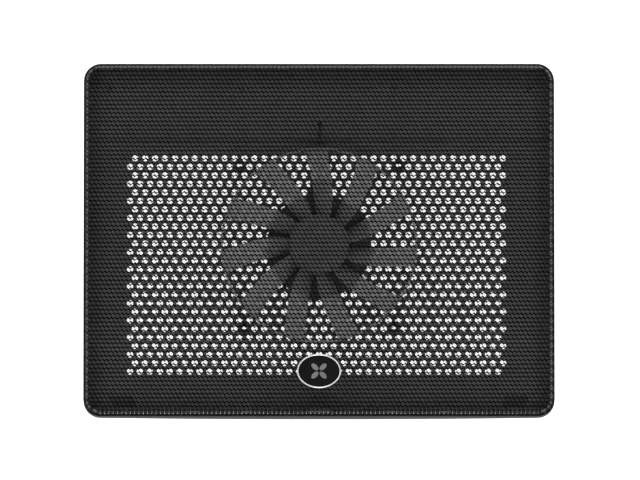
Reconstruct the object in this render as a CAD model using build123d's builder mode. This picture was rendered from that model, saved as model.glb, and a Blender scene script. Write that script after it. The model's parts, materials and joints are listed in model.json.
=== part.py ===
from build123d import *
from math import atan2, cos, degrees, hypot, radians, sin, tan
import os

# Laptop cooling pad: a shallow tray with a sheet-steel mesh top, one low fan standing on the floor's
# intake grille, and a deeper rear bar with a plain cover, which holds the sockets, the switch and two
# fold-out feet.
#
# Frame: +X right, +Y to the rear, +Z up, origin on the table under the middle of the pad.
# The deck leans towards the user, so most pieces are drawn in the deck's own frame:
# u across (the same as X), v up the slope to the rear, w out of the deck, with w = 0 on the mesh.

# ---- Driving dimensions (millimetres, degrees) ----

TILT = 4.2  # lean of the deck towards the user
DECK_WIDTH, DECK_DEPTH = 370.0, 279.2
CORNER_R = 13.5
FRONT_BOW = 1.3  # how far the front wall bulges at mid-width
DECK_Y, DECK_Z = -0.91, 30.7  # middle of the mesh, from the origin

SHEET = 0.8  # steel of the mesh panel
PANEL_ROLL, PANEL_SKIRT = 5.0, 5.6  # its edge is rolled down and ends on the tray's shoulder

RIM_W, RIM_INSET = -4.6, 1.3  # the tray's rim stands up inside the panel's skirt
WALL = 2.5
FLOOR_W, FLOOR_T = -17.0, 2.0
UNDERSIDE_R = 2.5  # rounding round the bottom of the walls
CREASE_R = 8.0
BAR_REACH, SLOPE_REACH = 30.8, 52.0  # from the rear edge to the two ends of the sloped wall
BAR_Z = 1.5  # underside of the rear bar, above the table

HOLE_R, HOLE_PITCH, HOLE_ROW = 2.5, 7.82, 6.77  # floor grille, rows shifted by half a pitch
GRILLE_ROWS, GRILLE_HOLES = 26, 38
GRILLE_TOP_V = 66.4  # v of the rearmost row
GRILLE_T = 1.6
GRILLE_HALF, GRILLE_FRONT, GRILLE_REAR = 153.0, -108.1, 71.9
BLIND_R = 39.0  # no holes inside this radius, under the motor
POSTS = [(1, 11), (1, 27), (20, 11), (20, 26)]  # row and hole that each post stands over
POST_R, POST_BORE_R, POST_GAP = 4.0, 2.4, 0.3

FAN_V = -3.8
HUB_R, TIP_RING_R, TIP_RING_WIDTH = 23.6, 77.4, 1.8
HUB_TOP, HUB_BOTTOM = -2.6, -13.8
BLADES, BLADE_START, BLADE_SWEEP, BLADE_T = 11, 87.0, 10.2, 1.5
BLADE_W = -9.0  # height of the blades' middle
BLADE_RADII = [22.8, 41.0, 58.0, 75.8]
BLADE_WIDTHS = [10.0, 15.0, 15.8, 18.6]  # seen from above
BLADE_RISES = [8.0, 8.0, 7.4, 6.5]  # from the low leading edge to the high trailing edge

MOUNT_R, MOUNT_T, TAB_END = 41.2, 1.4, 54.0
MOUNT_TOP = FLOOR_W + MOUNT_T
TAB_LEFT, TAB_RIGHT = -7.0, 8.6
TUBE_R, TUBE_BORE_R, TUBE_TOP = 4.2, 3.0, -6.6
SHAFT_R, SHAFT_CLEARANCE = 1.5, 0.03
MOUNT_SCREW_R, MOUNT_SCREWS = 34.0, 3

BOARD_HALF, BOARD_FRONT, BOARD_REAR, BOARD_TOP, BOARD_T = 25.0, 113.1, 136.9, -23.4, 1.6
BOARD_SCREW_U, BOARD_SCREW_V = 21.5, 116.5
BOSS_RING_R, PILOT_R = 2.8, 1.0  # screw bosses of the rear bar
COMPARTMENT_HALF, COMPARTMENT_FRONT, RIB = 28.0, 108.5, 1.6
SOCKET_U, INLET_U, SWITCH_U = -14.0, 3.0, 17.0
SOCKET_MOUTH = 139.0  # v of the sockets' mouths, just inside the rear wall's face
USB_WIDTH, USB_HEIGHT, INLET_WIDTH, INLET_HEIGHT = 13.1, 5.7, 7.7, 3.95
MOUTH_GAP = 0.2
SWITCH_TRAVEL, SWITCH_RISE = 2.5, 1.8

COVER_T, COVER_FRONT = 1.2, 81.0  # plate that carries the floor on over the rear bar
COVER_BOTTOM, COVER_TOP = FLOOR_W, FLOOR_W + COVER_T
COVER_RIB_U, COVER_SCREW_U, COVER_SCREW_V = [60.0, 165.0], [60.0, 165.0], 121.0

WIRE_R, WIRE_SPACING = 0.55, 1.3
LEADS_U, LEADS_GAP = 0.8, 2.9  # where the fan's two leads run, and the channel that takes them
CONNECTOR_U, LEADS_END_W = 8.0, BOARD_TOP + 2.6

FOOT_U, FOOT_HALF, FOOT_LENGTH = 125.0, 27.0, 20.0
PIVOT_Y, PIVOT_Z = 132.6, 5.4
BARREL_R, PIN_R, PIN_CLEARANCE = 3.4, 1.25, 0.05
POCKET_GAP, POCKET_WALL, POCKET_TOP = 0.6, 1.8, 9.8

FRONT_PAD_U, FRONT_PAD_V = 154.0, -126.7
PLUG_WIDTH, PLUG_DEPTH, PLUG_SLANT = 19.0, 9.4, 4.6
REAR_PAD_U, REAR_PAD_Y = 62.0, 124.0

BADGE_V, BADGE_WIDTH, BADGE_DEPTH, BADGE_RIM = -104.8, 34.5, 27.0, 1.1

# ---- Planes and small helpers ----

LEAN = radians(TILT)
HALF_WIDTH, HALF_DEPTH = DECK_WIDTH / 2, DECK_DEPTH / 2
deck = Plane(origin=(0, DECK_Y, DECK_Z), x_dir=(1, 0, 0), z_dir=(0, -sin(LEAN), cos(LEAN)))
side = Plane(origin=deck.origin, x_dir=deck.y_dir, z_dir=(1, 0, 0))  # drawn in (v, w)
upright = Plane(origin=deck.origin, x_dir=(1, 0, 0), z_dir=-deck.y_dir)  # drawn in (u, w)
fan = Plane(origin=deck.from_local_coords((0, FAN_V, 0)), x_dir=(1, 0, 0), z_dir=deck.z_dir)
fan_section = Plane(origin=fan.origin, x_dir=(1, 0, 0), z_dir=-deck.y_dir)  # drawn in (radius, w)
fan_axis = Axis(fan.origin, fan.z_dir)
deck_up = Axis(deck.origin, deck.z_dir)
deck_rearward = Axis(deck.origin, deck.y_dir)


def across(v):
    """The upright plane at v, drawn in (u, w). Extruding by a positive amount goes to the front."""
    return upright.offset(-v)


def height_in_deck(v, z):
    """The w of the point at v that is z above the table."""
    return (z - DECK_Z - v * sin(LEAN)) / cos(LEAN)


def outline(inset=0.0, bow=0.0):
    """The deck's outline, inset all round, with its front edge bowed outwards."""
    half_u, half_v = HALF_WIDTH - inset, HALF_DEPTH - inset
    with BuildSketch() as shape:
        with BuildLine():
            Polyline((-half_u, -half_v), (-half_u, half_v), (half_u, half_v), (half_u, -half_v))
            if bow:
                ThreePointArc((-half_u, -half_v), (0, -half_v - bow), (half_u, -half_v))
            else:
                Line((-half_u, -half_v), (half_u, -half_v))
        make_face()
        fillet(shape.vertices(), CORNER_R - inset)
    return shape.sketch


def side_profile(skin=0.0):
    """The tray seen from the side, from far above the rim to its underside, pared by a skin."""
    reach, top = HALF_DEPTH + 20, 30.0
    bar_v, slope_v = HALF_DEPTH - BAR_REACH, HALF_DEPTH - SLOPE_REACH
    underside = FLOOR_W - FLOOR_T
    slope_bottom = (bar_v, height_in_deck(bar_v, BAR_Z))
    slope_top = (slope_v, underside)
    with BuildSketch() as shape:
        with BuildLine():
            Polyline(
                (-reach, top), (-reach, underside), slope_top, slope_bottom,
                (reach, height_in_deck(reach, BAR_Z)), (reach, top), close=True,
            )
        make_face()
        creases = shape.vertices().filter_by(lambda corner: abs(corner.X) < HALF_DEPTH)
        fillet(creases, CREASE_R)
        if skin:
            offset(amount=-skin, kind=Kind.INTERSECTION)
    return shape.sketch


def turned(profile):
    """A piece turned about the fan's axis, from its (radius, w) corner points."""
    with BuildPart() as piece:
        with BuildSketch(fan_section):
            with BuildLine():
                Polyline(*profile, close=True)
            make_face()
        revolve(axis=fan_axis)
    return piece


def ring(inner, outer, bottom, top):
    """A ring about the fan's axis."""
    return turned([(inner, bottom), (outer, bottom), (outer, top), (inner, top)])


def keep(piece, name):
    """Label a finished piece and write it as its own file."""
    piece.part.label = name
    export_step(piece.part, f"parts/{name}.step")


os.makedirs("parts", exist_ok=True)

# ---- Tray ----


def grille_hole(row, hole):
    """Centre of a floor hole: rows run to the front, and every second row is shifted."""
    shift = 18.5 if row % 2 == 0 else 19.0
    return ((hole - shift) * HOLE_PITCH, GRILLE_TOP_V - row * HOLE_ROW)


def front_plug():
    """The slanted plug of the right front pad, about its own centre."""
    half_u, half_v, slant = PLUG_WIDTH / 2, PLUG_DEPTH / 2, PLUG_SLANT / 2
    with BuildSketch() as shape:
        Polygon(
            (-half_u - slant, -half_v), (half_u - slant, -half_v),
            (half_u + slant, half_v), (-half_u + slant, half_v), align=None,
        )
        fillet(shape.vertices(), 1.0)
    return shape.sketch


front_pad_places = [
    ((FRONT_PAD_U, FRONT_PAD_V), front_plug()),
    ((-FRONT_PAD_U, FRONT_PAD_V), front_plug().mirror(Plane.YZ)),
]

with BuildPart() as cavity:
    with BuildSketch(side):
        add(side_profile(FLOOR_T))
    extrude(amount=DECK_WIDTH, both=True)
    with BuildSketch(deck):
        add(outline(WALL))
    extrude(amount=80, both=True, mode=Mode.INTERSECT)

# Ribs and bosses inside the rear bar, drawn long and cut to the bar's shape
POCKET_HALF = FOOT_HALF + POCKET_GAP
POCKET_FRONT, POCKET_REAR = PIVOT_Y - FOOT_LENGTH - 3.4, PIVOT_Y + BARREL_R + POCKET_GAP
pocket_places = [(u, (POCKET_FRONT + POCKET_REAR) / 2) for u in (-FOOT_U, FOOT_U)]
board_screw_places = [(u, BOARD_SCREW_V) for u in (-BOARD_SCREW_U, BOARD_SCREW_U)]
cover_screw_places = [(sign * u, COVER_SCREW_V) for u in COVER_SCREW_U for sign in (-1, 1)]
BAR_RIB_V = (COMPARTMENT_FRONT + HALF_DEPTH) / 2
cover_rib_places = [(sign * u, BAR_RIB_V) for u in COVER_RIB_U for sign in (-1, 1)]
RIBS_DOWN = 45.0  # how far they are drawn down before the cut

with BuildPart() as bar_ribs:
    with BuildSketch(deck.offset(COVER_BOTTOM)):
        with Locations((0, (COMPARTMENT_FRONT + HALF_DEPTH - 1) / 2)):
            Rectangle(2 * COMPARTMENT_HALF, HALF_DEPTH - 1 - COMPARTMENT_FRONT)
        with Locations((0, (COMPARTMENT_FRONT + HALF_DEPTH) / 2 + RIB)):
            Rectangle(2 * (COMPARTMENT_HALF - RIB), HALF_DEPTH - COMPARTMENT_FRONT, mode=Mode.SUBTRACT)
        with Locations(*cover_rib_places):
            Rectangle(RIB, HALF_DEPTH - COMPARTMENT_FRONT)
        with Locations(*cover_screw_places):
            Circle(BOSS_RING_R)
            Circle(PILOT_R, mode=Mode.SUBTRACT)
    extrude(amount=-RIBS_DOWN)
    with BuildSketch(deck.offset(BOARD_TOP - BOARD_T)):
        with Locations(*board_screw_places):
            Circle(BOSS_RING_R)
            Circle(PILOT_R, mode=Mode.SUBTRACT)
        with Locations((-BOARD_SCREW_U, BOARD_REAR - 2.5), (BOARD_SCREW_U, BOARD_REAR - 2.5)):
            Rectangle(RIB, 5.5)
    extrude(amount=-RIBS_DOWN)
    with BuildSketch(Plane.XY):
        with Locations(*pocket_places):
            Rectangle(2 * (POCKET_HALF + POCKET_WALL), POCKET_REAR - POCKET_FRONT + 2 * POCKET_WALL)
    extrude(amount=POCKET_TOP + POCKET_WALL)
    with BuildSketch(side):
        add(side_profile(0.5))
    extrude(amount=DECK_WIDTH, both=True, mode=Mode.INTERSECT)

CLIP_WIDTH, CLIP_DEPTH, CLIP_TOP, CLIP_HEIGHT = 9.0, 1.8, -2.4, 9.0
CLIP_INSET = WALL + CLIP_DEPTH / 2 - 0.4
REAR_CLIP_U, FRONT_CLIP_U = [28.0, 80.6, 124.0, 167.5], [57.0, 98.5]
rear_clips = [(sign * u, HALF_DEPTH - CLIP_INSET) for u in REAR_CLIP_U for sign in (-1, 1)]
front_clips = [(sign * u, CLIP_INSET - HALF_DEPTH) for u in FRONT_CLIP_U for sign in (-1, 1)]

with BuildPart() as base_tray:
    with BuildSketch(side):
        add(side_profile())
    extrude(amount=DECK_WIDTH, both=True)
    with BuildSketch(deck.offset(-PANEL_SKIRT)):
        add(outline(bow=FRONT_BOW))
    extrude(amount=-80, mode=Mode.INTERSECT)
    # Round the bottom of the walls: every edge of the underside but the creases across it
    underside = base_tray.faces().filter_by(lambda face: face.normal_at().Z < -0.3)
    bottom = underside.edges()
    creases = bottom.filter_by(Axis.X).sort_by(Axis.Y)[:-2]
    fillet([edge for edge in bottom if edge not in creases], UNDERSIDE_R)
    # Rim that locates the mesh panel's skirt
    with BuildSketch(deck.offset(-PANEL_SKIRT)):
        add(outline(RIM_INSET))
    extrude(amount=PANEL_SKIRT + RIM_W)
    add(cavity.part, mode=Mode.SUBTRACT)
    add(bar_ribs.part)
    # Clips that hold the panel, standing up along the walls inside its rolled edge
    with BuildSketch(deck.offset(CLIP_TOP)):
        with Locations(*rear_clips, *front_clips):
            Rectangle(CLIP_WIDTH, CLIP_DEPTH)
        with Locations((0, CLIP_INSET + 0.6 - HALF_DEPTH)):
            Rectangle(17, CLIP_DEPTH + 1.2)
        with Locations((CLIP_INSET - HALF_WIDTH, -2), (HALF_WIDTH - CLIP_INSET, -2)):
            Rectangle(CLIP_DEPTH, CLIP_WIDTH)
    extrude(amount=-CLIP_HEIGHT)
    # Opening for the grille, flush with the floor on top
    with BuildSketch(deck.offset(FLOOR_W)):
        with Locations((0, (GRILLE_FRONT + GRILLE_REAR) / 2)):
            RectangleRounded(2 * GRILLE_HALF, GRILLE_REAR - GRILLE_FRONT, 5)
    extrude(amount=-FLOOR_T, mode=Mode.SUBTRACT)
    # Slots for the plugs of the front pads
    with BuildSketch(deck.offset(FLOOR_W)):
        for place, plug in front_pad_places:
            with Locations(place):
                add(plug)
    extrude(amount=-FLOOR_T, mode=Mode.SUBTRACT)
    # Pockets and pin holes for the feet
    with BuildSketch(Plane.XY):
        with Locations(*pocket_places):
            Rectangle(2 * POCKET_HALF, POCKET_REAR - POCKET_FRONT)
    extrude(amount=POCKET_TOP, mode=Mode.SUBTRACT)
    for u in (-FOOT_U, FOOT_U):
        with BuildSketch(Plane.YZ.offset(u)):
            with Locations((PIVOT_Y, PIVOT_Z)):
                Circle(PIN_R)
        extrude(amount=POCKET_HALF + 1.2, both=True, mode=Mode.SUBTRACT)
    # Rear wall: mouths of the sockets and the slot of the switch
    with BuildSketch(across(HALF_DEPTH + 1)):
        with Locations((SOCKET_U, BOARD_TOP + USB_HEIGHT / 2)):
            RectangleRounded(USB_WIDTH + 2 * MOUTH_GAP, USB_HEIGHT + 2 * MOUTH_GAP, 0.6)
        with Locations((INLET_U, BOARD_TOP + INLET_HEIGHT / 2)):
            RectangleRounded(INLET_WIDTH + 2 * MOUTH_GAP, INLET_HEIGHT + 2 * MOUTH_GAP, 0.9)
        with Locations((SWITCH_U, BOARD_TOP + SWITCH_RISE)):
            RectangleRounded(SWITCH_TRAVEL + 2.9, 2.4, 0.6)
    extrude(amount=WALL + 2, mode=Mode.SUBTRACT)
    # Notch in the compartment's front rib, and a clip on the floor, for the fan's leads
    with BuildSketch(across(COMPARTMENT_FRONT + RIB + 0.2)):
        with Locations((CONNECTOR_U, LEADS_END_W)):
            Rectangle(5.5, 5.2)
    extrude(amount=RIB + 0.4, mode=Mode.SUBTRACT)
    with BuildSketch(across(77)):
        with Locations((LEADS_U, FLOOR_W + 1)):
            Rectangle(5.6, 2.4)
        with Locations((LEADS_U, FLOOR_W + 0.7)):
            Rectangle(LEADS_GAP, 1.4, mode=Mode.SUBTRACT)
    extrude(amount=3)
keep(base_tray, "base_tray")

# ---- Intake grille: the perforated part of the floor ----

hole_places = []
for row in range(GRILLE_ROWS):
    for hole in range(GRILLE_HOLES):
        u, v = grille_hole(row, hole)
        if hypot(u, v - FAN_V) > BLIND_R:
            hole_places.append((u, v))

with BuildPart() as intake_grille:
    with BuildSketch(deck.offset(FLOOR_W)):
        with Locations((0, (GRILLE_FRONT + GRILLE_REAR) / 2)):
            RectangleRounded(2 * GRILLE_HALF, GRILLE_REAR - GRILLE_FRONT, 5)
        with Locations(*hole_places):
            Circle(HOLE_R, mode=Mode.SUBTRACT)
        with Locations((0, FAN_V)):
            with PolarLocations(MOUNT_SCREW_R, MOUNT_SCREWS, start_angle=30):
                Circle(1.35, mode=Mode.SUBTRACT)
    extrude(amount=-GRILLE_T)
keep(intake_grille, "intake_grille")

with BuildPart() as mesh_support_posts:
    with BuildSketch(deck.offset(FLOOR_W)):
        with Locations(*[grille_hole(row, hole) for row, hole in POSTS]):
            Circle(POST_R)
            Circle(POST_BORE_R, mode=Mode.SUBTRACT)
    extrude(amount=-FLOOR_W - SHEET - POST_GAP)
    fillet(mesh_support_posts.faces().group_by(deck_up)[-1].edges(), 0.4)
keep(mesh_support_posts, "mesh_support_posts")

# ---- Mesh panel: a shallow pan with a rolled edge ----

with BuildPart() as mesh_panel:
    with BuildSketch(deck):
        add(outline())
    extrude(amount=-PANEL_SKIRT)
    fillet(mesh_panel.faces().sort_by(deck_up)[-1].edges(), PANEL_ROLL)
    offset(amount=-SHEET, openings=mesh_panel.faces().sort_by(deck_up)[0])
keep(mesh_panel, "mesh_panel")

# ---- Badge: black oval plate, bright rim and a plain four-petal sign ----

PLATE_T, SIGN_T = 1.2, 0.5
badge = Plane(origin=deck.from_local_coords((0, BADGE_V, 0)), x_dir=(1, 0, 0), z_dir=deck.z_dir)

with BuildPart() as badge_plate:
    with BuildSketch(badge):
        Ellipse(BADGE_WIDTH / 2 - BADGE_RIM, BADGE_DEPTH / 2 - BADGE_RIM)
    extrude(amount=PLATE_T)
keep(badge_plate, "badge_plate")

with BuildPart() as badge_rim:
    with BuildSketch(badge):
        Ellipse(BADGE_WIDTH / 2, BADGE_DEPTH / 2)
        Ellipse(BADGE_WIDTH / 2 - BADGE_RIM, BADGE_DEPTH / 2 - BADGE_RIM, mode=Mode.SUBTRACT)
    extrude(amount=PLATE_T + SIGN_T)
    fillet(badge_rim.faces().sort_by(deck_up)[-1].edges(), 0.5)
keep(badge_rim, "badge_rim")

with BuildPart() as badge_symbol:
    with BuildSketch(badge.offset(PLATE_T)):
        with PolarLocations(4.6, 4, start_angle=45):
            Ellipse(3.4, 1.9)
        Circle(1.0, mode=Mode.SUBTRACT)
    extrude(amount=SIGN_T)
keep(badge_symbol, "badge_symbol")

# ---- Motor mount and stator, fixed to the floor ----

with BuildPart() as motor_mount:
    add(turned([
        (0, FLOOR_W), (MOUNT_R, FLOOR_W), (MOUNT_R, MOUNT_TOP + 0.6), (MOUNT_R - 1.6, MOUNT_TOP + 0.6),
        (MOUNT_R - 1.6, MOUNT_TOP), (5.6, MOUNT_TOP), (5.6, MOUNT_TOP + 0.4), (TUBE_R, MOUNT_TOP + 0.4),
        (TUBE_R, TUBE_TOP), (TUBE_BORE_R, TUBE_TOP), (TUBE_BORE_R, FLOOR_W + 0.4), (0, FLOOR_W + 0.4),
    ]).part)
    with BuildSketch(fan.offset(FLOOR_W)):
        with Locations(((TAB_LEFT + TAB_RIGHT) / 2, (38 + TAB_END) / 2)):
            RectangleRounded(TAB_RIGHT - TAB_LEFT, TAB_END - 38, 1.5)
    extrude(amount=MOUNT_T)
    with BuildSketch(fan.offset(MOUNT_TOP)):
        with PolarLocations(MOUNT_SCREW_R, MOUNT_SCREWS, start_angle=30):
            Circle(2.8)
    extrude(amount=1.0)
    with BuildSketch(fan.offset(FLOOR_W)):
        with PolarLocations(MOUNT_SCREW_R, MOUNT_SCREWS, start_angle=30):
            Circle(1.1)
    extrude(amount=MOUNT_T + 0.4, mode=Mode.SUBTRACT)
    # Channel for the leads
    with BuildSketch(fan.offset(MOUNT_TOP - 0.4)):
        with Locations((LEADS_U, (17.4 + TAB_END + 1) / 2)):
            Rectangle(LEADS_GAP, TAB_END + 1 - 17.4)
    extrude(amount=2, mode=Mode.SUBTRACT)
keep(motor_mount, "motor_mount")

SCREW_HEAD_R, SCREW_HEAD_H = 2.5, 1.2


def screw(plane, shank_r, shank_length):
    """A pan-head screw with a cross slot: its head stands out of the plane, its shank goes below."""
    with BuildPart() as piece:
        with BuildSketch(plane):
            Circle(SCREW_HEAD_R)
        extrude(amount=SCREW_HEAD_H)
        fillet(piece.edges().filter_by(GeomType.CIRCLE).sort_by(Axis(plane.origin, plane.z_dir))[-1], 0.5)
        with BuildSketch(plane):
            Circle(shank_r)
        extrude(amount=-shank_length)
        with BuildSketch(plane.offset(SCREW_HEAD_H)):
            Rectangle(2.8, 0.6)
            Rectangle(0.6, 2.8)
        extrude(amount=-0.7, mode=Mode.SUBTRACT)
    return piece.part


with BuildPart() as motor_mount_screws:
    for index in range(MOUNT_SCREWS):
        angle = radians(30 + 360 / MOUNT_SCREWS * index)
        place = deck.from_local_coords(
            (MOUNT_SCREW_R * cos(angle), FAN_V + MOUNT_SCREW_R * sin(angle), FLOOR_W - GRILLE_T))
        add(screw(Plane(origin=place, x_dir=(1, 0, 0), z_dir=-deck.z_dir), 1.1, GRILLE_T + MOUNT_T + 0.4))
keep(motor_mount_screws, "motor_mount_screws")

BEARING_BOTTOM, BEARING_TOP = -15.0, -6.9
keep(ring(SHAFT_R + SHAFT_CLEARANCE, TUBE_BORE_R, BEARING_BOTTOM, BEARING_TOP), "sleeve_bearing")
keep(ring(0.0, TUBE_BORE_R - 0.05, FLOOR_W + 0.4, FLOOR_W + 0.8), "thrust_pad")
keep(ring(TUBE_R, 17.4, MOUNT_TOP + 0.4, MOUNT_TOP + 1.2), "motor_board")

CORE_BOTTOM, CORE_T, CORE_R, POLES, NECK = -12.5, 4.0, 17.6, 4, 4.5
with BuildPart() as stator_core:
    with BuildSketch(fan.offset(CORE_BOTTOM)):
        Circle(CORE_R)
        Circle(CORE_R - 2, mode=Mode.SUBTRACT)
        with PolarLocations(CORE_R, POLES, start_angle=45):
            Rectangle(6, 2.6, mode=Mode.SUBTRACT)
        with PolarLocations(CORE_R / 2 + 2, POLES):
            Rectangle(CORE_R / 2 + 3, NECK)
        Circle(7.4)
        Circle(TUBE_R, mode=Mode.SUBTRACT)
    extrude(amount=CORE_T)
keep(stator_core, "stator_core")

COIL_BUILD, COIL_START, COIL_LENGTH = 1.4, 8.2, 6.6
with BuildPart() as coil:
    with BuildSketch(Plane.YZ.offset(COIL_START)):
        with Locations((0, CORE_BOTTOM + CORE_T / 2)):
            RectangleRounded(NECK + 2 * COIL_BUILD, CORE_T + 2 * COIL_BUILD, 1.2)
            Rectangle(NECK, CORE_T, mode=Mode.SUBTRACT)
    extrude(amount=COIL_LENGTH)
with BuildPart(fan) as stator_coils:
    with PolarLocations(0, POLES):
        add(coil.part)
keep(stator_coils, "stator_coils")

# ---- Rotor: everything that spins ----

BOSS_R, BOSS_BOTTOM, YOKE_R = 3.5, -6.2, 21.4
HUB_UNDER = HUB_TOP - 2.0
with BuildPart() as blade:
    for radius, width, rise in zip(BLADE_RADII, BLADE_WIDTHS, BLADE_RISES):
        along = (radius - BLADE_RADII[0]) / (BLADE_RADII[-1] - BLADE_RADII[0])
        angle = radians(BLADE_SWEEP * (along - 0.5))
        outward = Vector(cos(angle), sin(angle), 0)
        section = Plane(
            origin=outward * radius + Vector(0, 0, BLADE_W), x_dir=(-sin(angle), cos(angle), 0), z_dir=outward)
        with BuildSketch(section):
            SlotOverall(hypot(width, rise), BLADE_T, rotation=-degrees(atan2(rise, width)))
    loft()
with BuildPart(fan) as blades:
    with PolarLocations(0, BLADES, start_angle=BLADE_START):
        add(blade.part)
with BuildPart() as impeller:
    add(turned([
        (0, HUB_TOP), (HUB_R, HUB_TOP), (HUB_R, HUB_BOTTOM), (YOKE_R, HUB_BOTTOM), (YOKE_R, HUB_UNDER),
        (BOSS_R, HUB_UNDER), (BOSS_R, BOSS_BOTTOM), (SHAFT_R, BOSS_BOTTOM), (SHAFT_R, HUB_TOP - 0.8),
        (0, HUB_TOP - 0.8),
    ]).part)
    fillet(impeller.edges().filter_by(GeomType.CIRCLE).sort_by(fan_axis)[-1], 1.2)
    add(blades.part)
    add(ring(TIP_RING_R - TIP_RING_WIDTH, TIP_RING_R, BLADE_W - 1.0, BLADE_W + 1.0).part)
keep(impeller, "impeller")

keep(turned([
    (BOSS_R, HUB_UNDER), (YOKE_R, HUB_UNDER), (YOKE_R, HUB_BOTTOM + 0.2), (YOKE_R - 0.8, HUB_BOTTOM + 0.2),
    (YOKE_R - 0.8, HUB_UNDER - 0.8), (BOSS_R, HUB_UNDER - 0.8),
]), "rotor_yoke")
keep(ring(CORE_R + 0.5, YOKE_R - 0.8, -13.4, -6.0), "rotor_magnet")

GROOVE_R, GROOVE_TOP, GROOVE_BOTTOM = 1.1, -15.25, -15.6
SHAFT_END = FLOOR_W + 0.85
keep(turned([
    (0, HUB_TOP - 0.8), (SHAFT_R, HUB_TOP - 0.8), (SHAFT_R, GROOVE_TOP), (GROOVE_R, GROOVE_TOP),
    (GROOVE_R, GROOVE_BOTTOM), (SHAFT_R, GROOVE_BOTTOM), (SHAFT_R, SHAFT_END), (0, SHAFT_END),
]), "shaft")
keep(ring(GROOVE_R, 2.6, GROOVE_BOTTOM, GROOVE_TOP - 0.05), "retaining_clip")

# ---- Fan leads: held along the floor from the motor to the control board ----

lead_route = [
    (LEADS_U, 13.6, -15.4), (LEADS_U, 53.0, -15.4), (LEADS_U, 58.0, -16.4), (LEADS_U, 92.0, -16.4),
    (LEADS_U, 99.0, LEADS_END_W), (CONNECTOR_U, 106.5, LEADS_END_W), (CONNECTOR_U, 113.2, LEADS_END_W),
]


def lead_radii(points):
    """The largest arc at each corner: 0.45 of the shorter run over the tangent of half the turn."""
    radii = []
    for before, corner, after in zip(points, points[1:], points[2:]):
        run_in, run_out = Vector(*corner) - Vector(*before), Vector(*after) - Vector(*corner)
        half_turn = radians(run_in.get_angle(run_out)) / 2
        radii.append(0.45 * min(run_in.length, run_out.length) / tan(half_turn))
    return radii


with BuildPart() as fan_leads:
    for side_step in (-WIRE_SPACING / 2, WIRE_SPACING / 2):
        points = [deck.from_local_coords((u + side_step, v, w)) for u, v, w in lead_route]
        with BuildLine() as lead_path:
            FilletPolyline(*points, radius=lead_radii([tuple(point) for point in points]))
        with BuildSketch(Plane(origin=points[0], z_dir=deck.y_dir)):
            Circle(WIRE_R)
        sweep(path=lead_path.wires()[0])
keep(fan_leads, "fan_leads")

# ---- Control board, sockets and switch ----

with BuildPart() as control_board:
    with BuildSketch(deck.offset(BOARD_TOP)):
        with Locations((0, (BOARD_FRONT + BOARD_REAR) / 2)):
            Rectangle(2 * BOARD_HALF, BOARD_REAR - BOARD_FRONT)
        with Locations(*board_screw_places):
            Circle(1.2, mode=Mode.SUBTRACT)
    extrude(amount=-BOARD_T)
keep(control_board, "control_board")

with BuildPart() as board_screws:
    for u, v in board_screw_places:
        place = deck.from_local_coords((u, v, BOARD_TOP))
        add(screw(Plane(origin=place, x_dir=(1, 0, 0), z_dir=deck.z_dir), PILOT_R, BOARD_T + 6))
keep(board_screws, "board_screws")

with BuildPart() as board_components:
    with BuildSketch(deck.offset(BOARD_TOP)):
        with Locations((-1.5, 117.5)):
            Circle(2.5)
    extrude(amount=5.2)
    fillet(board_components.edges().sort_by(deck_up)[-1], 0.4)
    with BuildSketch(deck.offset(BOARD_TOP)):
        with Locations((-9, 117), (15, 122.5)):
            Rectangle(5.0, 4.0)
        with Locations((-15.5, 119.5), (13.5, 127.0), (18.5, 127.0)):
            Rectangle(3.2, 1.6)
    extrude(amount=1.3)
keep(board_components, "board_components")

with BuildPart() as lead_connector:
    with BuildSketch(deck.offset(BOARD_TOP)):
        with Locations((CONNECTOR_U, 115.7)):
            Rectangle(6.2, 5.0)
    extrude(amount=4.6)
    chamfer(lead_connector.edges().filter_by(deck_up), 0.5)
keep(lead_connector, "lead_connector")


def shell(u, w, width, height, corner, skin, length):
    """A socket's folded metal shell: open at its mouth, closed at its back."""
    with BuildPart() as piece:
        with BuildSketch(across(SOCKET_MOUTH)):
            with Locations((u, w)):
                RectangleRounded(width, height, corner)
        extrude(amount=length)
        with BuildSketch(across(SOCKET_MOUTH)):
            with Locations((u, w)):
                RectangleRounded(width - 2 * skin, height - 2 * skin, corner - skin / 2)
        extrude(amount=length - skin, mode=Mode.SUBTRACT)
    return piece


def tongue(u, w, width, height, length, back):
    """A socket's moulded tongue, standing out of the back of its shell."""
    with BuildPart() as piece:
        with BuildSketch(across(SOCKET_MOUTH - back)):
            with Locations((u, w)):
                Rectangle(width, height)
        extrude(amount=-length)
        chamfer(piece.faces().sort_by(deck_rearward)[-1].edges(), 0.25)
    return piece


SOCKET_LENGTH, SOCKET_SKIN, INLET_LENGTH, INLET_SKIN = 14.0, 0.35, 9.2, 0.3
SOCKET_W, INLET_W = BOARD_TOP + USB_HEIGHT / 2, BOARD_TOP + INLET_HEIGHT / 2
keep(shell(SOCKET_U, SOCKET_W, USB_WIDTH, USB_HEIGHT, 0.5, SOCKET_SKIN, SOCKET_LENGTH), "usb_socket_shell")
keep(tongue(SOCKET_U, SOCKET_W + 0.85, 11.1, 1.84, 8.4, SOCKET_LENGTH - SOCKET_SKIN), "usb_socket_tongue")
keep(shell(INLET_U, INLET_W, INLET_WIDTH, INLET_HEIGHT, 0.8, INLET_SKIN, INLET_LENGTH), "power_inlet_shell")
keep(tongue(INLET_U, INLET_W, 4.4, 1.0, 6.4, INLET_LENGTH - INLET_SKIN), "power_inlet_tongue")

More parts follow.
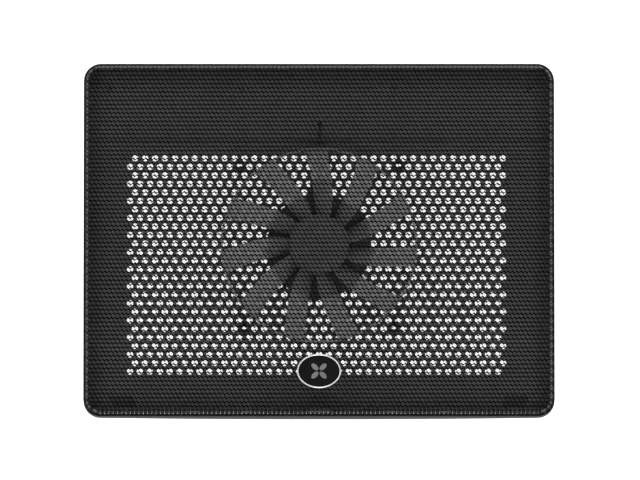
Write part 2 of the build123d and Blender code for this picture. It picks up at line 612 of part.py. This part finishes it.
SWITCH_W, SWITCH_DEPTH = BOARD_TOP + SWITCH_RISE, 4.4
with BuildPart() as switch_body:
    with BuildSketch(across(BOARD_REAR)):
        with Locations((SWITCH_U, SWITCH_W)):
            Rectangle(8.6, 3.6)
    extrude(amount=SWITCH_DEPTH)
    with BuildSketch(across(BOARD_REAR)):
        with Locations((SWITCH_U, SWITCH_W)):
            Rectangle(SWITCH_TRAVEL + 2.7, 2.1)
    extrude(amount=2.4, mode=Mode.SUBTRACT)
keep(switch_body, "switch_body")

with BuildPart() as switch_slider:
    with BuildSketch(across(BOARD_REAR - 2.0)):
        with Locations((SWITCH_U - SWITCH_TRAVEL / 2, SWITCH_W)):
            Rectangle(2.0, 1.5)
    extrude(amount=-(HALF_DEPTH + 1.6 - BOARD_REAR + 2.0))
    fillet(switch_slider.faces().sort_by(deck_rearward)[-1].edges(), 0.4)
keep(switch_slider, "switch_slider")

# ---- Cover of the rear bar ----

NOTCH_REAR = 95.0
with BuildPart() as rear_cover:
    with BuildSketch(deck.offset(COVER_TOP)):
        add(outline(WALL + 0.3))
        with Locations((0, COVER_FRONT + DECK_DEPTH / 2)):
            Rectangle(DECK_WIDTH, DECK_DEPTH, mode=Mode.INTERSECT)
        # Notch for the leads, which dip from the floor into the rear bar
        with Locations((LEADS_U, (COVER_FRONT + NOTCH_REAR) / 2 - 1)):
            Rectangle(LEADS_GAP, NOTCH_REAR - COVER_FRONT + 2, mode=Mode.SUBTRACT)
        with Locations(*cover_screw_places):
            Circle(PILOT_R + 0.2, mode=Mode.SUBTRACT)
    extrude(amount=-COVER_T)
keep(rear_cover, "rear_cover")

with BuildPart() as cover_screws:
    for u, v in cover_screw_places:
        place = deck.from_local_coords((u, v, COVER_TOP))
        add(screw(Plane(origin=place, x_dir=(1, 0, 0), z_dir=deck.z_dir), PILOT_R, COVER_T + 6))
keep(cover_screws, "cover_screws")

# ---- Fold-out feet ----


def foot(u):
    """A foot folded flat in its pocket: a plate that ends in the hinge barrel."""
    with BuildPart() as piece:
        with BuildSketch(Plane.YZ.offset(u)):
            with Locations((PIVOT_Y - FOOT_LENGTH / 2, PIVOT_Z - 0.3)):
                Rectangle(FOOT_LENGTH, 5.0)
            with Locations((PIVOT_Y, PIVOT_Z)):
                Circle(BARREL_R)
        extrude(amount=FOOT_HALF, both=True)
        fillet(piece.edges().filter_by(Axis.X).sort_by(Axis.Y)[0:2], 0.8)
        # Sunk panel on the face that is seen from below, and a notch for a fingernail
        with BuildSketch(Plane.XY.offset(PIVOT_Z - 2.8)):
            with Locations((u, PIVOT_Y - FOOT_LENGTH / 2 - 0.5)):
                RectangleRounded(2 * FOOT_HALF - 12, 9.0, 1.5)
        extrude(amount=0.8, mode=Mode.SUBTRACT)
        with BuildSketch(Plane.YZ.offset(u)):
            with Locations((PIVOT_Y, PIVOT_Z)):
                Circle(PIN_R + PIN_CLEARANCE)
        extrude(amount=FOOT_HALF, both=True, mode=Mode.SUBTRACT)
    return piece


def foot_tip(u):
    """The rubber end of a foot."""
    with BuildPart() as piece:
        with BuildSketch(Plane.XZ.offset(-(PIVOT_Y - FOOT_LENGTH))):
            with Locations((u, PIVOT_Z - 0.3)):
                RectangleRounded(2 * FOOT_HALF - 8, 3.6, 1.2)
        extrude(amount=2.0)
        fillet(piece.faces().sort_by(Axis.Y)[0].edges(), 0.6)
    return piece


def hinge_pin(u):
    """A foot's steel pin, held in the pocket's side walls."""
    with BuildPart() as piece:
        with BuildSketch(Plane.YZ.offset(u)):
            with Locations((PIVOT_Y, PIVOT_Z)):
                Circle(PIN_R)
        extrude(amount=POCKET_HALF + 1.0, both=True)
    return piece


for hand, place_u in (("left", -FOOT_U), ("right", FOOT_U)):
    keep(foot(place_u), f"{hand}_foot")
    keep(foot_tip(place_u), f"{hand}_foot_tip")
    keep(hinge_pin(place_u), f"{hand}_hinge_pin")

# ---- Rubber pads that the object stands on ----

with BuildPart() as front_pads:
    for (u, v), plug in front_pad_places:
        foot_y = deck.from_local_coords((0, v, FLOOR_W - FLOOR_T)).Y
        with BuildSketch(Plane.XY):
            with Locations((u, foot_y)):
                RectangleRounded(PLUG_WIDTH + 11, PLUG_DEPTH + 4.4, 4)
        extrude(amount=10)
    split(bisect_by=deck.offset(FLOOR_W - FLOOR_T), keep=Keep.BOTTOM)
    with BuildSketch(deck.offset(FLOOR_W - FLOOR_T)):
        for place, plug in front_pad_places:
            with Locations(place):
                add(plug)
    extrude(amount=FLOOR_T)
keep(front_pads, "front_pads")

with BuildPart() as rear_pads:
    with BuildSketch(Plane.XY):
        with Locations((-REAR_PAD_U, REAR_PAD_Y), (REAR_PAD_U, REAR_PAD_Y)):
            RectangleRounded(34, 12, 4)
    extrude(amount=BAR_Z)
    fillet(rear_pads.faces().group_by(Axis.Z)[0].edges(), 0.5)
keep(rear_pads, "rear_pads")
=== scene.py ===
"""Looks of the laptop cooling pad: expanded-metal top, procedural finishes, camera and studio."""

import json
import math

import bpy
import numpy as np
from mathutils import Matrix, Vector


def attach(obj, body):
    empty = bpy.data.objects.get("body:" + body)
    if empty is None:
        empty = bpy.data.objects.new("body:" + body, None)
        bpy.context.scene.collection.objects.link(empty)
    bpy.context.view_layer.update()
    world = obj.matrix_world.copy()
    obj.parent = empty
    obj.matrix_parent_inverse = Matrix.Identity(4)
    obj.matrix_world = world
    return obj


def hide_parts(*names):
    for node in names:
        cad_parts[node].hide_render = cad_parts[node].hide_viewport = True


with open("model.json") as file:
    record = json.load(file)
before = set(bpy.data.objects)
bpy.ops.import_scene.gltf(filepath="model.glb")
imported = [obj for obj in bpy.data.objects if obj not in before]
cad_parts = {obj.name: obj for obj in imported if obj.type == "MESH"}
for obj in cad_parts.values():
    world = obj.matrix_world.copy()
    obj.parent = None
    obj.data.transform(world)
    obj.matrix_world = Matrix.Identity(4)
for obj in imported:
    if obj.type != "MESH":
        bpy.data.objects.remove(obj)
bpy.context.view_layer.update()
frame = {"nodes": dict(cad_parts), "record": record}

# ---- The deck's own frame: u across, v up the slope to the rear, w out of the deck ----

deck_mount = next(mount for mount in frame["record"]["mounts"] if mount["name"] == "laptop_rest")
DECK_ORIGIN = Vector(deck_mount["pos_m"])
DECK_UP = Vector(deck_mount["axis"]).normalized()
DECK_RIGHT = Vector((1, 0, 0))
DECK_REAR = DECK_UP.cross(DECK_RIGHT)

# ---- Camera: a long lens, steeply above and in front of the pad ----

CAMERA_ELEVATION = math.radians(78.1)
CAMERA_DISTANCE = 12.0  # near enough that the pad stays in range when the camera is moved round it
SENSOR_WIDTH = 36.0
VIEW_WIDTH = 0.5028  # how much of the deck's plane the picture is wide
AIM_RIGHT, AIM_DOWN = 0.0008, 0.0009  # the picture's middle, from the deck's

camera = bpy.data.objects.new("camera", bpy.data.cameras.new("camera"))
bpy.context.scene.collection.objects.link(camera)
bpy.context.scene.camera = camera
towards_camera = Vector((0, -math.cos(CAMERA_ELEVATION), math.sin(CAMERA_ELEVATION)))
picture_up = Vector((0, math.sin(CAMERA_ELEVATION), math.cos(CAMERA_ELEVATION)))
aim = DECK_ORIGIN + AIM_RIGHT * DECK_RIGHT - AIM_DOWN * picture_up
camera.location = aim + towards_camera * CAMERA_DISTANCE
camera.rotation_mode = "QUATERNION"
camera.rotation_quaternion = (-towards_camera).to_track_quat("-Z", "Y")
camera.data.sensor_width = SENSOR_WIDTH
camera.data.lens = SENSOR_WIDTH * CAMERA_DISTANCE / VIEW_WIDTH
camera.data.clip_start, camera.data.clip_end = 0.05, 100.0

# ---- Materials ----


class Nodes:
    """A node tree with short ways to add and join nodes."""

    def __init__(self, tree):
        self.tree = tree
        tree.nodes.clear()

    def add(self, kind, inputs=None, **settings):
        node = self.tree.nodes.new(kind)
        for name, value in settings.items():
            setattr(node, name, value)
        for name, value in (inputs or {}).items():
            if isinstance(value, bpy.types.NodeSocket):
                self.tree.links.new(value, node.inputs[name])
            else:
                node.inputs[name].default_value = value
        return node

    def ramp(self, factor, stops):
        """A colour ramp of (position, (r, g, b)) stops; gives its colour."""
        node = self.add("ShaderNodeValToRGB", {"Fac": factor})
        elements = node.color_ramp.elements
        while len(elements) < len(stops):
            elements.new(0.5)
        for element, (position, colour) in zip(elements, stops):
            element.position = position
            element.color = (*colour, 1)
        return node.outputs["Color"]

    def between(self, factor, low, high):
        """A number that runs from low to high as factor goes from 0 to 1."""
        node = self.add("ShaderNodeMapRange", {"Value": factor, "To Min": low, "To Max": high})
        return node.outputs["Result"]


def grey(value):
    return (value, value, value)


def tinted(colour, share):
    return tuple(channel * share for channel in colour)


def surface(
    colour, roughness, spread=0.12, rough_spread=0.08, grain=0.0005, bump=0.00001, patches=0.03,
    stretch=(1, 1, 1), texture="noise", **sockets,
):
    """A finish with grain and faint patches: its colour and roughness vary by the given spreads.

    grain and patches are sizes in metres, bump is the height of the grain, and sockets are set
    straight on the shader.
    """
    material = bpy.data.materials.new("finish")
    material.use_nodes = True
    nodes = Nodes(material.node_tree)
    place = nodes.add("ShaderNodeTexCoord").outputs["Object"]
    place = nodes.add("ShaderNodeMapping", {"Vector": place, "Scale": stretch}).outputs["Vector"]
    if texture == "cells":
        fine = nodes.add(
            "ShaderNodeTexVoronoi", {"Vector": place, "Scale": 1 / grain}, feature="SMOOTH_F1")
        fine = fine.outputs["Distance"]
    else:
        fine = nodes.add("ShaderNodeTexNoise", {"Vector": place, "Scale": 1 / grain, "Detail": 3.0})
        fine = fine.outputs["Fac"]
    broad = nodes.add("ShaderNodeTexNoise", {"Vector": place, "Scale": 1 / patches, "Detail": 2.0})
    mixed = nodes.add(
        "ShaderNodeMix", {"Factor": 0.45, "A": fine, "B": broad.outputs["Fac"]}, data_type="FLOAT")
    mixed = mixed.outputs["Result"]
    base = nodes.ramp(
        mixed, [(0.3, tinted(colour, 1 - spread)), (0.7, tinted(colour, 1 + spread))])
    rough = nodes.between(mixed, roughness - rough_spread, roughness + rough_spread)
    relief = nodes.add(
        "ShaderNodeBump", {"Strength": 1.0, "Distance": bump, "Height": fine}).outputs["Normal"]
    shader = nodes.add(
        "ShaderNodeBsdfPrincipled", {"Base Color": base, "Roughness": rough, "Normal": relief, **sockets})
    output = nodes.add("ShaderNodeOutputMaterial")
    nodes.tree.links.new(shader.outputs["BSDF"], output.inputs["Surface"])
    return material


finishes = {
    "tray_plastic": surface(grey(0.049), 0.55, spread=0.1, bump=0.000012, texture="cells"),
    "mesh_steel": surface(grey(0.0006), 0.17, spread=0.3, rough_spread=0.04, bump=0.000002),
    "badge_black": surface(grey(0.004), 0.22, spread=0.25, rough_spread=0.05, bump=0.000002),
    "badge_silver": surface(
        (0.62, 0.62, 0.63), 0.34, spread=0.08, grain=0.0009, bump=0.000004, stretch=(1, 12, 1),
        Metallic=1.0),
    "smoke_plastic": surface(
        grey(0.3), 0.5, spread=0.07, grain=0.0009, bump=0.000004, Alpha=0.96,
        **{"Transmission Weight": 0.82}),
    "motor_plastic": surface(grey(0.05), 0.5),
    "bronze": surface((0.36, 0.2, 0.08), 0.48, spread=0.18, grain=0.0003, Metallic=1.0),
    "steel": surface(grey(0.55), 0.32, spread=0.06, bump=0.000003, Metallic=1.0),
    "screw_steel": surface(grey(0.18), 0.38, spread=0.1, bump=0.000004, Metallic=1.0),
    "ferrite": surface(grey(0.03), 0.62, spread=0.2, grain=0.0003),
    "laminations": surface(
        grey(0.3), 0.42, grain=0.0003, stretch=(1, 1, 6), Metallic=1.0),
    "copper_wire": surface(
        (0.6, 0.22, 0.09), 0.3, spread=0.18, grain=0.0003, bump=0.00004, Metallic=1.0),
    "nylon": surface(grey(0.62), 0.5, spread=0.05),
    "circuit_board": surface((0.012, 0.07, 0.03), 0.42, spread=0.3, grain=0.0012, texture="cells"),
    "component_black": surface(grey(0.02), 0.45, spread=0.2, grain=0.0003),
    "lead_insulation": surface(grey(0.02), 0.4, spread=0.15),
    "connector_plastic": surface((0.6, 0.57, 0.48), 0.48, spread=0.06),
    "socket_steel": surface(
        grey(0.6), 0.28, spread=0.06, bump=0.000003, stretch=(6, 1, 1), Metallic=1.0),
    "tongue_plastic": surface(grey(0.03), 0.42, spread=0.15),
    "slider_plastic": surface(grey(0.04), 0.48, texture="cells"),
    "foot_plastic": surface(grey(0.045), 0.52, spread=0.1, bump=0.000012, texture="cells"),
    # pad_rubber also dresses the mesh support posts: there its near-black is painted shade standing in
    # for the shadow right under the strands; on the rubber pads it is the rubber's own colour
    "pad_rubber": surface(grey(0.022), 0.8, spread=0.18, bump=0.00002, texture="cells"),
}
for slot, material in finishes.items():
    material.name = f"{slot}_finish"


def wear(obj, material):
    """Give the whole of obj one material."""
    obj.data.materials.clear()
    obj.data.materials.append(material)


for node in frame["nodes"].values():
    wear(node, finishes[node.data.materials[0].name.split(".")[0]])

# ---- The mesh top: expanded metal over a rolled edge, with a plain hem ----

panel = frame["nodes"]["mesh_panel"]
panel_corners = [panel.matrix_world @ vertex.co - DECK_ORIGIN for vertex in panel.data.vertices]
HALF_WIDTH = max(corner.dot(DECK_RIGHT) for corner in panel_corners)
HALF_DEPTH = max(corner.dot(DECK_REAR) for corner in panel_corners)
CORNER = 0.0135
ROLL = 0.005  # radius of the rolled edge
STOCK = 0.00055  # thickness of the strands

PITCH, ROW = 0.00337, 0.00332  # of the openings, across and from row to row
PHASE_U, PHASE_V = 0.0004, 0.00084
STATIONS = (-0.01, 0.14, 0.28, 0.42, 0.49, 0.64, 0.78, 0.92)  # along one pitch of a strand
TROUGH_AT = 0.417  # where the strand is lowest, and how far below its peak
SWING = 0.00104
STRAND_THICK, STRAND_THIN = 0.00172, 0.0007  # falling and rising parts, seen from above
BOND_STATION, BOND_BELOW = 3, 7  # a bond hangs from this station down to that one

ARC = ROLL * math.pi / 2
TINY = 1e-9
OVERRUN = 0.006  # how far the flat pattern is drawn past the deck's edges, before it is trimmed
MESH_END = 0.0074  # how far round the roll the openings go
HEM_START, HEM_END, HEM_BEVEL = 0.0071, 0.0086, 0.00015
HEM_LIP, HEM_EASE = 0.00004, 0.0001  # the hem stands this far out of the strands; its rounded edge


def past_flat(u, v):
    """How far points of the flat pattern lie outside its flat area, and which way that is."""
    inner_r = CORNER - ROLL
    past_u = np.abs(u) - (HALF_WIDTH - CORNER)
    past_v = np.abs(v) - (HALF_DEPTH - CORNER)
    in_corner = (past_u > 0) & (past_v > 0)
    reach = np.where(in_corner, np.hypot(past_u, past_v), np.maximum(past_u, past_v))
    share = np.maximum(reach, TINY)
    out_u = np.where(in_corner, past_u / share, past_u >= past_v) * np.sign(u)
    out_v = np.where(in_corner, past_v / share, past_u < past_v) * np.sign(v)
    return reach - inner_r, out_u, out_v


def rolled(u, v, depth):
    """Points of the flat pattern, wrapped over the roll, at a depth below the outer surface.

    The pattern is flat inside a smaller rounded rectangle. Outside it the distance from that
    rectangle runs round the roll and then straight down.
    """
    outside, out_u, out_v = past_flat(u, v)
    along = np.maximum(outside, 0)
    angle = np.minimum(along, ARC) / ROLL
    radius = ROLL - depth
    sideways = radius * np.sin(angle) - along
    height = radius * np.cos(angle) - ROLL - np.maximum(along - ARC, 0)
    return in_frame(u + out_u * sideways, v + out_v * sideways, height)


def pulled_in(u, v, limit):
    """Flat points, with those that lie beyond the limit moved straight back to it."""
    outside, out_u, out_v = past_flat(u, v)
    excess = np.maximum(outside - limit, 0)
    return u - out_u * excess, v - out_v * excess


def in_frame(u, v, w):
    """Deck coordinates as points of the row frame, one per row."""
    return (
        np.array(DECK_ORIGIN)
        + np.outer(u, DECK_RIGHT) + np.outer(v, DECK_REAR) + np.outer(w, DECK_UP)
    )


def strand_line(t):
    """Middle of a strand at t of its pitch, below its peak: down to the trough and up again."""
    t = np.mod(t, 1.0)
    fall = (1 - np.cos(np.pi * t / TROUGH_AT)) / 2
    rise = (1 + np.cos(np.pi * (t - TROUGH_AT) / (1 - TROUGH_AT))) / 2
    return -SWING * np.where(t < TROUGH_AT, fall, rise)


def strand_width(t):
    """Width of a strand at t, thickest half way down and thinnest half way up."""
    share = (1 + np.cos(2 * np.pi * (t - TROUGH_AT / 2))) / 2
    return STRAND_THIN + (STRAND_THICK - STRAND_THIN) * share


def flat_pattern():
    """The expanded metal in the flat: corner points (u, v), and its quads.

    Rows of wavy strands, every second one shifted by half a pitch. Each strand's trough is joined
    to the peak of the strand in front of it.
    """
    per_cell = len(STATIONS)
    half_rows = int((HALF_DEPTH + OVERRUN) / ROW) + 1
    half_cells = int((HALF_WIDTH + OVERRUN) / PITCH) + 2
    rows = np.arange(-half_rows, half_rows + 1)
    cells = np.arange(-half_cells, half_cells + 1)
    t = (np.zeros((len(cells), 1)) + np.array(STATIONS)).ravel()
    column = np.repeat(cells, per_cell)
    shift = 0.5 * (rows % 2)
    u = PHASE_U + (column + t + shift[:, None]) * PITCH
    middle = PHASE_V + rows[:, None] * ROW + strand_line(t)
    half = np.broadcast_to(strand_width(t) / 2, middle.shape)
    points_u = np.stack([u, u], axis=2)
    points_v = np.stack([middle + half, middle - half], axis=2)
    index = np.arange(points_u.size).reshape(points_u.shape)  # row, station, upper or lower
    strips = np.stack(
        [index[:, :-1, 1], index[:, 1:, 1], index[:, 1:, 0], index[:, :-1, 0]], axis=-1)
    starts = np.arange(len(cells) - 1) * per_cell + BOND_STATION
    bonds = []
    for row in range(1, len(rows)):
        # The row in front is shifted by half a pitch, to the left of an even row's own cells
        back = 0 if rows[row - 1] % 2 == 0 else -1
        below = starts + (BOND_BELOW - BOND_STATION) + back * per_cell
        ok = (below >= 0) & (below + 1 < t.size)
        first, under = starts[ok], below[ok]
        bonds.append(np.stack(
            [index[row - 1, under, 0], index[row - 1, under + 1, 0],
             index[row, first + 1, 1], index[row, first, 1]], axis=-1))
    quads = np.concatenate([strips.reshape(-1, 4), *bonds])
    return points_u.ravel(), points_v.ravel(), quads


def thick_sheet(quads, point_count):
    """Quads of a closed sheet: the given ones, their twins below, and walls along open edges."""
    edges = np.stack([quads, np.roll(quads, -1, axis=1)], axis=-1).reshape(-1, 2)
    keys = edges.min(axis=1) * point_count + edges.max(axis=1)
    _, inverse, counts = np.unique(keys, return_inverse=True, return_counts=True)
    rim = edges[counts[inverse] == 1]
    under = quads[:, ::-1] + point_count
    walls = np.stack(
        [rim[:, 1], rim[:, 0], rim[:, 0] + point_count, rim[:, 1] + point_count], axis=-1)
    return np.concatenate([quads, under, walls])


def mesh_object(name, points, faces, crease=40.0):
    """An object from arrays, smooth but for edges sharper than the crease, in degrees."""
    used, faces = np.unique(faces, return_inverse=True)
    mesh = bpy.data.meshes.new(name)
    mesh.from_pydata(points[used].tolist(), [], faces.reshape(-1, 4).tolist())
    mesh.shade_smooth()
    mesh.set_sharp_from_angle(angle=math.radians(crease))
    obj = bpy.data.objects.new(name, mesh)
    bpy.context.scene.collection.objects.link(obj)
    return obj


def add_piece(obj, slot, body, *stands_for):
    """Finish a new piece: its finish, the body it rides on and the CAD nodes it stands for."""
    wear(obj, finishes[slot])
    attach(obj, body)
    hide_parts(*stands_for)


flat_u, flat_v, flat_quads = flat_pattern()
beyond = past_flat(flat_u, flat_v)[0] > MESH_END
flat_quads = flat_quads[~beyond[flat_quads].all(axis=1)]
PATCHES = 4
patch_of = np.clip(
    ((flat_u[flat_quads].mean(axis=1) + HALF_WIDTH) / (2 * HALF_WIDTH) * PATCHES).astype(int),
    0, PATCHES - 1)


flat_u, flat_v = pulled_in(flat_u, flat_v, MESH_END)
panel_points = np.concatenate([rolled(flat_u, flat_v, 0.0), rolled(flat_u, flat_v, STOCK)])
for patch in range(PATCHES):
    faces = thick_sheet(flat_quads[patch_of == patch], len(flat_u))
    piece = mesh_object(f"mesh_panel_part_{patch + 1}", panel_points, faces)
    add_piece(piece, "mesh_steel", "base", "mesh_panel")


def outline_points(corner_steps=14, straight_steps=8):
    """The inner outline of the roll, counterclockwise, as flat (u, v) and its outward direction."""
    inner_r = CORNER - ROLL
    centre_u, centre_v = HALF_WIDTH - CORNER, HALF_DEPTH - CORNER
    u, v, out_u, out_v = [], [], [], []
    for corner in range(4):
        sign_u = 1 if corner in (0, 3) else -1
        sign_v = 1 if corner in (0, 1) else -1
        for step in range(corner_steps + 1):
            angle = math.pi / 2 * (corner + step / corner_steps)
            out_u.append(math.cos(angle))
            out_v.append(math.sin(angle))
            u.append(sign_u * centre_u + inner_r * out_u[-1])
            v.append(sign_v * centre_v + inner_r * out_v[-1])
    loop = np.array([u, v, out_u, out_v]).T
    filled = []
    for here, there in zip(loop, np.roll(loop, -1, axis=0)):
        is_straight_side = np.hypot(*(there - here)[:2]) > CORNER
        steps = straight_steps if is_straight_side else 1
        filled += [here + (there - here) * step / steps for step in range(steps)]
    return np.array(filled).T


hem_u, hem_v, hem_out_u, hem_out_v = outline_points()
hem_distances = [HEM_START, (HEM_START + ARC) / 2, ARC, HEM_END - HEM_BEVEL]
hem_section = [(distance, -HEM_LIP) for distance in hem_distances]
hem_section += [(HEM_END, HEM_EASE), (HEM_END, STOCK - HEM_EASE)]
hem_section += [(distance, STOCK + HEM_LIP) for distance in reversed(hem_distances)]
hem_points = np.concatenate([
    rolled(hem_u + hem_out_u * distance, hem_v + hem_out_v * distance, depth)
    for distance, depth in hem_section
])
ring = np.arange(len(hem_u))
hem_faces = []
for side in range(len(hem_section)):
    here, there = side * len(ring), (side + 1) % len(hem_section) * len(ring)
    hem_faces.append(np.stack(
        [here + ring, there + ring, there + np.roll(ring, -1), here + np.roll(ring, -1)], axis=-1))
hem = mesh_object("mesh_panel_hem", hem_points, np.concatenate(hem_faces))
add_piece(hem, "mesh_steel", "base", "mesh_panel")

# ---- Studio: pale floor lit from within, a ring of soft sky and a low light in front ----


def soft_light(name, place, target, size, power):
    """A square-cornered area light, given by its middle and the point that it faces."""
    data = bpy.data.lights.new(name, "AREA")
    data.shape = "RECTANGLE"
    data.size, data.size_y = size
    data.energy = power
    light = bpy.data.objects.new(name, data)
    bpy.context.scene.collection.objects.link(light)
    light.location = place
    light.rotation_mode = "QUATERNION"
    light.rotation_quaternion = (Vector(target) - Vector(place)).to_track_quat("-Z", "Y")
    return light


world = bpy.data.worlds.new("studio")
bpy.context.scene.world = world
world.use_nodes = True
sky = Nodes(world.node_tree)
direction = sky.add("ShaderNodeTexCoord").outputs["Generated"]
height = sky.add("ShaderNodeSeparateXYZ", {"Vector": direction}).outputs["Z"]
sky_colour = sky.ramp(height, [
    (0.0, grey(0.02)), (0.02, grey(0.2)), (0.36, grey(0.3)), (0.46, grey(1.0)),
    (0.72, grey(1.0)), (0.84, grey(0.002)), (1.0, grey(0.002)),
])
background = sky.add("ShaderNodeBackground", {"Color": sky_colour, "Strength": 3.8})
world_output = sky.add("ShaderNodeOutputWorld")
sky.tree.links.new(background.outputs["Background"], world_output.inputs["Surface"])

floor_mesh = bpy.data.meshes.new("studio_floor")
FLOOR_HALF = 12.0
floor_mesh.from_pydata(
    [(-FLOOR_HALF, -FLOOR_HALF, 0), (FLOOR_HALF, -FLOOR_HALF, 0), (FLOOR_HALF, FLOOR_HALF, 0),
     (-FLOOR_HALF, FLOOR_HALF, 0)], [], [(0, 1, 2, 3)])
floor = bpy.data.objects.new("studio_floor", floor_mesh)
bpy.context.scene.collection.objects.link(floor)
floor_material = bpy.data.materials.new("studio_floor")
floor_material.use_nodes = True
floor_nodes = Nodes(floor_material.node_tree)
floor_shader = floor_nodes.add("ShaderNodeBsdfPrincipled", {
    "Base Color": (0.5, 0.5, 0.5, 1), "Roughness": 0.6,
    "Emission Color": (1, 1, 1, 1), "Emission Strength": 0.9,
})
floor_output = floor_nodes.add("ShaderNodeOutputMaterial")
floor_nodes.tree.links.new(floor_shader.outputs["BSDF"], floor_output.inputs["Surface"])
wear(floor, floor_material)
floor.visible_glossy = False

soft_light("front_strip", (0, -1.6, 0.3), (0, 0, 0.03), (0.6, 0.16), 13.8)

view_settings = bpy.context.scene.view_settings
view_settings.view_transform = "Standard"
view_settings.look = "None"
